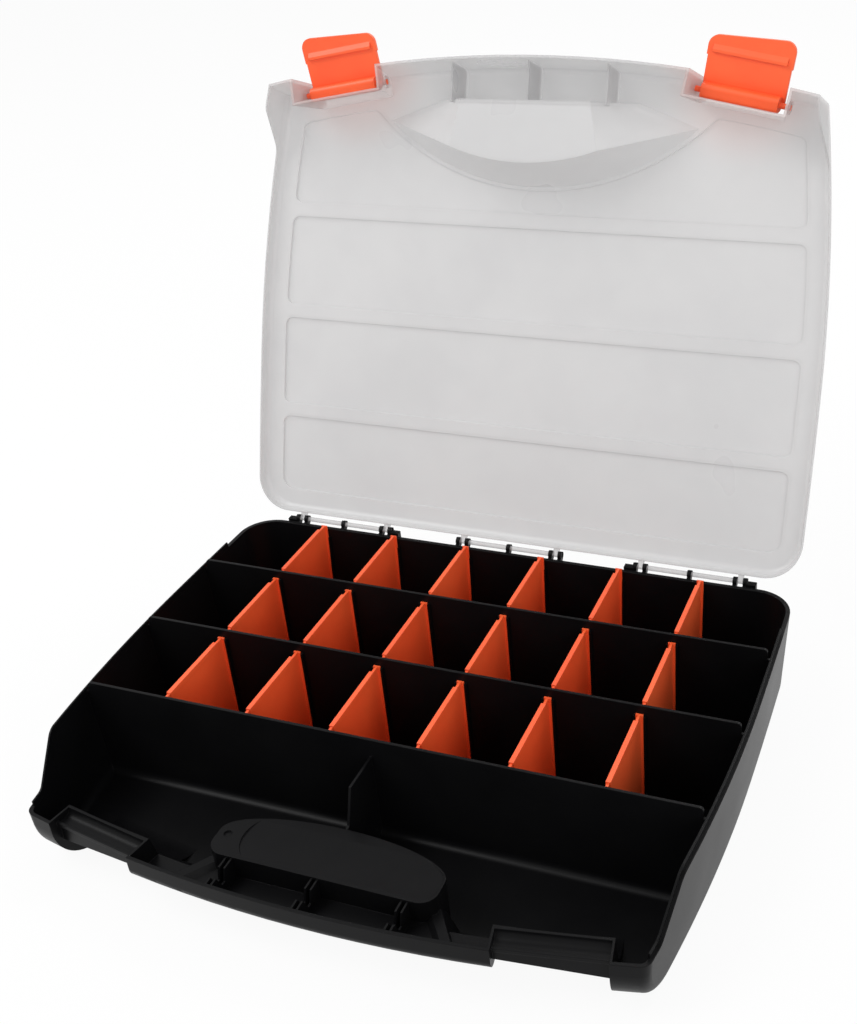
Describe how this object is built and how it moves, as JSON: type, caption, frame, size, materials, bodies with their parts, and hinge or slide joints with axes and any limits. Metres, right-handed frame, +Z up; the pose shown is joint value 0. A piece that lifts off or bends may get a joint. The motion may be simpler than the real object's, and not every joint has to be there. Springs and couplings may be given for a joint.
{
  "type": "compartment tool box",
  "caption": "Flat organiser case: black tray with fixed cross walls and lift-out dividers, clear hinged lid with finger pocket, and swing latches.",
  "frame": {"origin": "centre of the tray's flat underside", "axes": "+X to the right, -Y towards the latches and handle, +Z up"},
  "size_m": [0.361, 0.3974, 0.3472],
  "materials": {
    "tray_plastic": "satin",
    "lid_plastic": "frosted",
    "accent_plastic": "satin"
  },
  "bodies": {
    "tray": {"base_tray": "tray_plastic"},
    "lid_body": {"lid": "lid_plastic"},
    "latch_left_body": {"latch_left": "accent_plastic"},
    "latch_right_body": {"latch_right": "accent_plastic"},
    "divider_rear_1_body": {"divider_rear_1": "accent_plastic"},
    "divider_rear_2_body": {"divider_rear_2": "accent_plastic"},
    "divider_rear_3_body": {"divider_rear_3": "accent_plastic"},
    "divider_rear_4_body": {"divider_rear_4": "accent_plastic"},
    "divider_rear_5_body": {"divider_rear_5": "accent_plastic"},
    "divider_rear_6_body": {"divider_rear_6": "accent_plastic"},
    "divider_middle_1_body": {"divider_middle_1": "accent_plastic"},
    "divider_middle_2_body": {"divider_middle_2": "accent_plastic"},
    "divider_middle_3_body": {"divider_middle_3": "accent_plastic"},
    "divider_middle_4_body": {"divider_middle_4": "accent_plastic"},
    "divider_middle_5_body": {"divider_middle_5": "accent_plastic"},
    "divider_middle_6_body": {"divider_middle_6": "accent_plastic"},
    "divider_front_1_body": {"divider_front_1": "accent_plastic"},
    "divider_front_2_body": {"divider_front_2": "accent_plastic"},
    "divider_front_3_body": {"divider_front_3": "accent_plastic"},
    "divider_front_4_body": {"divider_front_4": "accent_plastic"},
    "divider_front_5_body": {"divider_front_5": "accent_plastic"},
    "divider_front_6_body": {"divider_front_6": "accent_plastic"}
  },
  "joints": [
    {"name": "lid_hinge", "type": "hinge", "parent": "tray", "child": "lid_body", "pos_m": [0, 0.1488, 0.057], "axis": [-1, 0, 0], "range_deg": [-110.1, 0]},
    {"name": "latch_left_hinge", "type": "hinge", "parent": "lid_body", "child": "latch_left_body", "pos_m": [-0.12145, 0.2342, 0.31568], "axis": [-0.9848, -0.0597, -0.1631], "range_deg": [-73, 0]},
    {"name": "latch_right_hinge", "type": "hinge", "parent": "lid_body", "child": "latch_right_body", "pos_m": [0.12145, 0.2342, 0.31568], "axis": [-0.9848, 0.0597, 0.1631], "range_deg": [-73, 0]},
    {"name": "divider_rear_1_lift", "type": "slide", "parent": "tray", "child": "divider_rear_1_body", "axis": [0, 0, 1], "range_m": [0, 0.065]},
    {"name": "divider_rear_2_lift", "type": "slide", "parent": "tray", "child": "divider_rear_2_body", "axis": [0, 0, 1], "range_m": [0, 0.065]},
    {"name": "divider_rear_3_lift", "type": "slide", "parent": "tray", "child": "divider_rear_3_body", "axis": [0, 0, 1], "range_m": [0, 0.065]},
    {"name": "divider_rear_4_lift", "type": "slide", "parent": "tray", "child": "divider_rear_4_body", "axis": [0, 0, 1], "range_m": [0, 0.065]},
    {"name": "divider_rear_5_lift", "type": "slide", "parent": "tray", "child": "divider_rear_5_body", "axis": [0, 0, 1], "range_m": [0, 0.065]},
    {"name": "divider_rear_6_lift", "type": "slide", "parent": "tray", "child": "divider_rear_6_body", "axis": [0, 0, 1], "range_m": [0, 0.065]},
    {"name": "divider_middle_1_lift", "type": "slide", "parent": "tray", "child": "divider_middle_1_body", "axis": [0, 0, 1], "range_m": [0, 0.065]},
    {"name": "divider_middle_2_lift", "type": "slide", "parent": "tray", "child": "divider_middle_2_body", "axis": [0, 0, 1], "range_m": [0, 0.065]},
    {"name": "divider_middle_3_lift", "type": "slide", "parent": "tray", "child": "divider_middle_3_body", "axis": [0, 0, 1], "range_m": [0, 0.065]},
    {"name": "divider_middle_4_lift", "type": "slide", "parent": "tray", "child": "divider_middle_4_body", "axis": [0, 0, 1], "range_m": [0, 0.065]},
    {"name": "divider_middle_5_lift", "type": "slide", "parent": "tray", "child": "divider_middle_5_body", "axis": [0, 0, 1], "range_m": [0, 0.065]},
    {"name": "divider_middle_6_lift", "type": "slide", "parent": "tray", "child": "divider_middle_6_body", "axis": [0, 0, 1], "range_m": [0, 0.065]},
    {"name": "divider_front_1_lift", "type": "slide", "parent": "tray", "child": "divider_front_1_body", "axis": [0, 0, 1], "range_m": [0, 0.065]},
    {"name": "divider_front_2_lift", "type": "slide", "parent": "tray", "child": "divider_front_2_body", "axis": [0, 0, 1], "range_m": [0, 0.065]},
    {"name": "divider_front_3_lift", "type": "slide", "parent": "tray", "child": "divider_front_3_body", "axis": [0, 0, 1], "range_m": [0, 0.065]},
    {"name": "divider_front_4_lift", "type": "slide", "parent": "tray", "child": "divider_front_4_body", "axis": [0, 0, 1], "range_m": [0, 0.065]},
    {"name": "divider_front_5_lift", "type": "slide", "parent": "tray", "child": "divider_front_5_body", "axis": [0, 0, 1], "range_m": [0, 0.065]},
    {"name": "divider_front_6_lift", "type": "slide", "parent": "tray", "child": "divider_front_6_body", "axis": [0, 0, 1], "range_m": [0, 0.065]}
  ]
}
